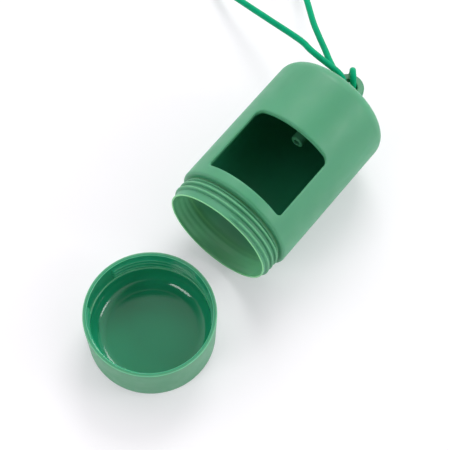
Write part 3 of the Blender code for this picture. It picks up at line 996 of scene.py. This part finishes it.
@dataclass
class HangingCord:
    """One round cord: a free loop, a turn over the lug's rim, and a knot under the eye.

    Attributes:
        eye: the middle of the lug's eye.
        radius: the cord's radius.
        knot_drop, knot_aside: the knot's place, down and away from the housing.
        knot_half: half the knot's width and height.
        knot_turn: how far it is turned round the upright.
        loop_spacing, turn_spacing: distance between the curves' points.
    """

    eye: Vector
    radius: float = 1.6 * MM
    knot_drop: float = 5.9 * MM
    knot_aside: float = 1.6 * MM
    knot_half: tuple[float, float] = (5.6 * MM, 3.3 * MM)
    knot_turn: float = math.radians(12)
    loop_spacing: float = 2.0 * MM
    turn_spacing: float = 0.6 * MM

    def strand(self, name: str, route: tuple[tuple[float, float, float], ...],
               spacing: float) -> bpy.types.Object:
        """A smooth stretch of cord, as a curve of one open spline with filled ends."""
        points = smooth_route(route, spacing) + np.array(self.eye)
        curve = bpy.data.curves.new(name, "CURVE")
        curve.dimensions = "3D"
        spline = curve.splines.new("POLY")
        spline.points.add(len(points) - 1)
        spline.points.foreach_set("co", np.column_stack((points, np.ones(len(points)))).ravel())
        curve.bevel_depth = self.radius
        curve.bevel_resolution = 6
        curve.use_fill_caps = True
        spline.use_smooth = True
        return place_object(name, curve)

    def build_knot(self) -> bpy.types.Object:
        """The knot: a trefoil, x = sin t + 2 sin 2t, y = cos t - 2 cos 2t, z = -sin 3t."""
        t = np.linspace(0, FULL_TURN, 240, endpoint=False)
        spread = (self.knot_half[0] - self.radius) / 3.0
        rise = self.knot_half[1] - self.radius
        x = spread * (np.sin(t) + 2 * np.sin(2 * t))
        y = spread * (np.cos(t) - 2 * np.cos(2 * t))
        cosine, sine = math.cos(self.knot_turn), math.sin(self.knot_turn)
        path = np.column_stack((cosine * x - sine * y, sine * x + cosine * y,
                                -rise * np.sin(3 * t)))
        path += np.array(self.eye) + np.array((self.knot_aside, 0.0, -self.knot_drop))
        grid = carried_ring(path, self.radius, sides=24)
        shell = Shell("cord_knot_turns")
        shell.add(grid, quads(grid.shape[0], grid.shape[1], wrap_rows=True))
        return shell.build()

    def make(self) -> None:
        material = CORD_FINISH.material()
        loop = self.strand("cord_free_loop", LOOP_ROUTE, self.loop_spacing)
        hitch = self.strand("cord_turn", HITCH_ROUTE, self.turn_spacing)
        knot = self.build_knot()
        for piece, node in ((loop, "cord_loop"), (hitch, "cord_hitch"), (knot, "cord_knot")):
            piece.data.materials.append(material)
            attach(piece, "housing")
            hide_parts(node)
            LOG.info("%s made", piece.name)
        points = smooth_route(LOOP_ROUTE, self.loop_spacing)
        length = float(np.linalg.norm(np.diff(points, axis=0), axis=1).sum())
        LOG.info("cord length %.3f m", length)


# ------------------ stage
@dataclass(frozen=True)
class Lamp:
    """One soft rectangular light."""

    name: str
    place: tuple[float, float, float]
    size: tuple[float, float]
    power: float

    def make(self, target: Vector) -> None:
        """Hang the light at its place, aimed at the target."""
        data = bpy.data.lights.new(self.name, "AREA")
        data.shape = "RECTANGLE"
        data.size, data.size_y = self.size
        data.energy = self.power
        lamp = place_object(self.name, data)
        lamp.location = self.place
        lamp.rotation_euler = (target - lamp.location).to_track_quat("-Z", "Y").to_euler()


@dataclass
class Studio:
    """White table, soft lights, and a long-lens camera that looks down at the trap.

    Attributes:
        target: the point on the table that the camera and the lamps are aimed at.
        azimuth, elevation: from +X to the way that the camera looks, seen from above,
            and how steeply it looks down.
        lens, sensor: focal length and sensor width in millimetres.
        gap_towards, gap_half_angles: the middle of the light tent's gap, and where its
            soft edge starts and ends.
    """

    target: Vector
    azimuth: float = math.radians(38.62)
    elevation: float = math.radians(64.46)
    distance: float = 0.7555
    lens: float = 124.56
    sensor: float = 36.0
    table_half: float = 3.0
    tent_glow: float = 1.12
    gap_glow: float = 0.03
    gap_towards: tuple[float, float, float] = (-0.50, -0.10, 0.86)
    gap_half_angles: tuple[float, float] = (math.radians(32), math.radians(56))
    lamps: tuple[Lamp, ...] = (
        Lamp("back_box", (0.66, 0.31, 0.72), (0.50, 0.40), 4.0),
        Lamp("left_box", (-0.72, 0.13, 0.55), (0.42, 0.22), 2.2),
        Lamp("right_box", (0.37, -0.66, 0.47), (0.33, 0.18), 1.4),
    )

    def camera(self) -> None:
        """Stand the camera back from the target, against its viewing direction."""
        data = bpy.data.cameras.new("camera")
        data.lens = self.lens
        data.sensor_width = self.sensor
        data.clip_start = 0.05
        flat = math.cos(self.elevation)
        away = Vector((-flat * math.cos(self.azimuth), -flat * math.sin(self.azimuth),
                       math.sin(self.elevation)))
        camera = place_object("camera", data)
        camera.location = self.target + away * self.distance
        camera.rotation_euler = (-away).to_track_quat("-Z", "Y").to_euler()
        bpy.context.scene.camera = camera

    def table(self) -> None:
        """A wide white table top."""
        half = self.table_half
        corners = [(-half, -half, 0), (half, -half, 0), (half, half, 0), (-half, half, 0)]
        mesh = bpy.data.meshes.new("table_top")
        mesh.from_pydata(corners, [], [(0, 1, 2, 3)])
        top = place_object("table_top", mesh)
        graph = Graph("white_table")
        graph.fill(graph.shader, {
            "Base Color": (0.70, 0.69, 0.70, 1.0), "Emission Color": (1.0, 0.96, 1.04, 1.0),
            "Emission Strength": 0.29, "Roughness": 0.7, "Specular IOR Level": 0.2})
        mesh.materials.append(graph.material)

    def sky(self) -> None:
        """A white light tent with an unlit gap above.

        The tent's glow depends on the cosine between the direction and the gap's middle:
        full outside the gap's outer angle, faint inside its inner angle.
        """
        world = bpy.data.worlds.new("light_tent")
        world.use_nodes = True
        tree = world.node_tree
        place = tree.nodes.new("ShaderNodeTexCoord")
        across = tree.nodes.new("ShaderNodeVectorMath")
        across.operation = "DOT_PRODUCT"
        across.inputs[1].default_value = Vector(self.gap_towards).normalized()
        fall = tree.nodes.new("ShaderNodeMapRange")
        fall.interpolation_type = "SMOOTHSTEP"
        inner, outer = self.gap_half_angles
        Graph.fill(fall, {"From Min": math.cos(outer), "From Max": math.cos(inner),
                          "To Min": self.tent_glow, "To Max": self.gap_glow})
        background = tree.nodes["Background"]
        background.inputs["Color"].default_value = (1.0, 1.0, 1.0, 1.0)
        tree.links.new(place.outputs["Generated"], across.inputs[0])
        tree.links.new(across.outputs["Value"], fall.inputs["Value"])
        tree.links.new(fall.outputs["Result"], background.inputs["Strength"])
        bpy.context.scene.world = world

    def make(self) -> None:
        """Set up the camera, table, surround and lights."""
        bpy.context.scene.view_settings.view_transform = "Standard"
        self.camera()
        self.table()
        self.sky()
        for lamp in self.lamps:
            lamp.make(self.target)


# ------------------ whole trap
def housing_from_frame() -> Housing:
    """Read the housing's place and radius from its node's box."""
    low, high = (Vector(corner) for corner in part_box("housing"))
    radius = (high.z - low.z) / 2
    return Housing(Vector((low.x, (low.y + high.y) / 2, low.z + radius)), radius, high.x)


def cup_from_frame() -> BaitCup:
    """Read the cup's place, rim and height from its node's box."""
    low, high = (Vector(corner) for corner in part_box("bait_cup"))
    middle = (low + high) / 2
    return BaitCup(Vector((middle.x, middle.y, low.z)), (high.x - low.x) / 2, high.z - low.z)


def main() -> None:
    """Build the studio, the cord, the housing and the cup."""
    logging.basicConfig(level=logging.INFO, format="%(message)s")
    housing = housing_from_frame()
    along, across = VIEW_MIDDLE
    Studio(Vector((housing.mouth.x + along, housing.mouth.y + across, 0.0))).make()
    HangingCord(Vector((housing.tip_x - housing.lug_r, housing.mouth.y, housing.mouth.z))).make()
    housing.make()
    cup_from_frame().make()


if __name__ == "__main__":
    main()
